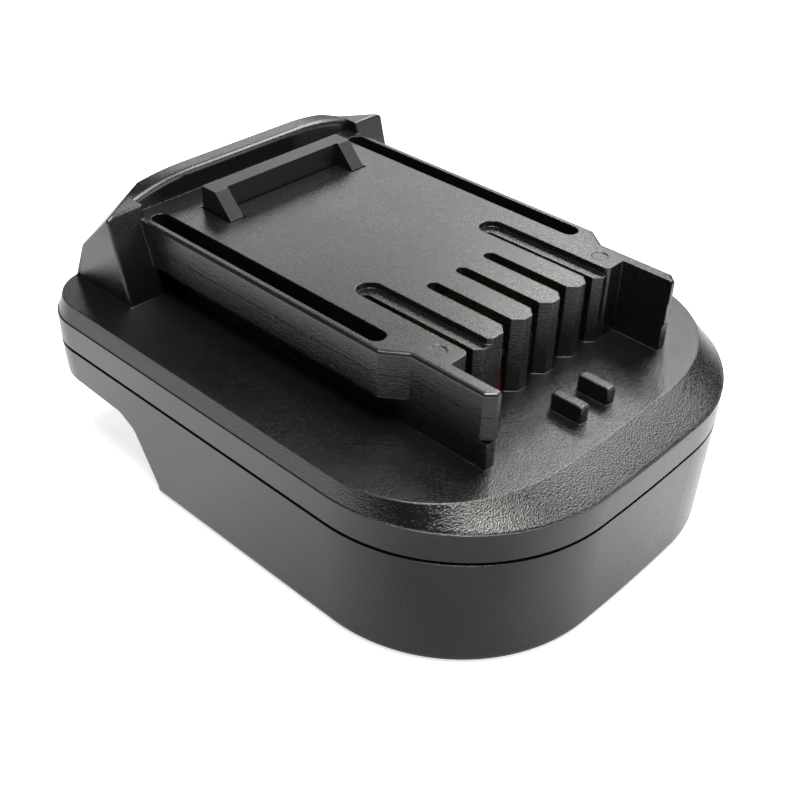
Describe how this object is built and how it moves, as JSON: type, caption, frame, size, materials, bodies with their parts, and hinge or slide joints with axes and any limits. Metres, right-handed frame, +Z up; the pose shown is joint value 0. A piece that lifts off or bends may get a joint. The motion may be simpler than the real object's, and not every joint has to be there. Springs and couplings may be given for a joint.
{
  "type": "tool battery adapter",
  "caption": "Black moulded adapter with a tool foot and sprung catch on top and a slide battery bay below.",
  "frame": {"origin": "middle of the underside: halfway along, on the mirror plane, at the lowest face", "axes": "+X towards the contact end, +Y to the left, +Z up through the deck"},
  "size_m": [0.0984, 0.078, 0.0451],
  "materials": {
    "shell_plastic": "fine spark-eroded grain, satin black",
    "latch_plastic": "fine grain, satin black",
    "block_plastic": "plain moulded",
    "black_steel": "black oxide",
    "screw_steel": "zinc plated",
    "spring_steel": "drawn wire",
    "board_green": "solder mask",
    "component_black": "moulded package",
    "capacitor_sleeve": "printed sleeve, left plain",
    "contact_brass": "plated strip",
    "red_sleeve": "wire insulation",
    "black_sleeve": "wire insulation",
    "white_sleeve": "wire insulation"
  },
  "bodies": {
    "root": {"upper_cover": "shell_plastic", "lower_housing": "shell_plastic", "housing_screws": "black_steel", "latch_spring_left": "spring_steel", "latch_spring_right": "spring_steel", "latch_retainer": "latch_plastic", "retainer_screws": "screw_steel", "circuit_board": "board_green", "board_screws": "screw_steel", "contact_board": "board_green", "power_transistors": "component_black", "control_chip": "component_black", "capacitor": "capacitor_sleeve", "resistors": "component_black", "power_contact_left": "contact_brass", "power_contact_right": "contact_brass", "signal_contact_left": "contact_brass", "signal_contact_middle": "contact_brass", "signal_contact_right": "contact_brass", "terminal_block": "block_plastic", "terminal_screws": "screw_steel", "positive_blade": "contact_brass", "negative_blade": "contact_brass", "signal_blade": "contact_brass", "positive_lead": "red_sleeve", "negative_lead": "black_sleeve", "signal_lead": "white_sleeve"},
    "latch": {"latch_slider": "latch_plastic", "release_button": "latch_plastic"}
  },
  "joints": [
    {"name": "latch_slide", "type": "slide", "parent": "root", "child": "latch", "axis": [0, 0, -1], "range_m": [0, 0.0042], "stiffness_N_per_m": 900, "springref_m": -0.004, "deforming": ["latch_spring_left", "latch_spring_right"]}
  ]
}
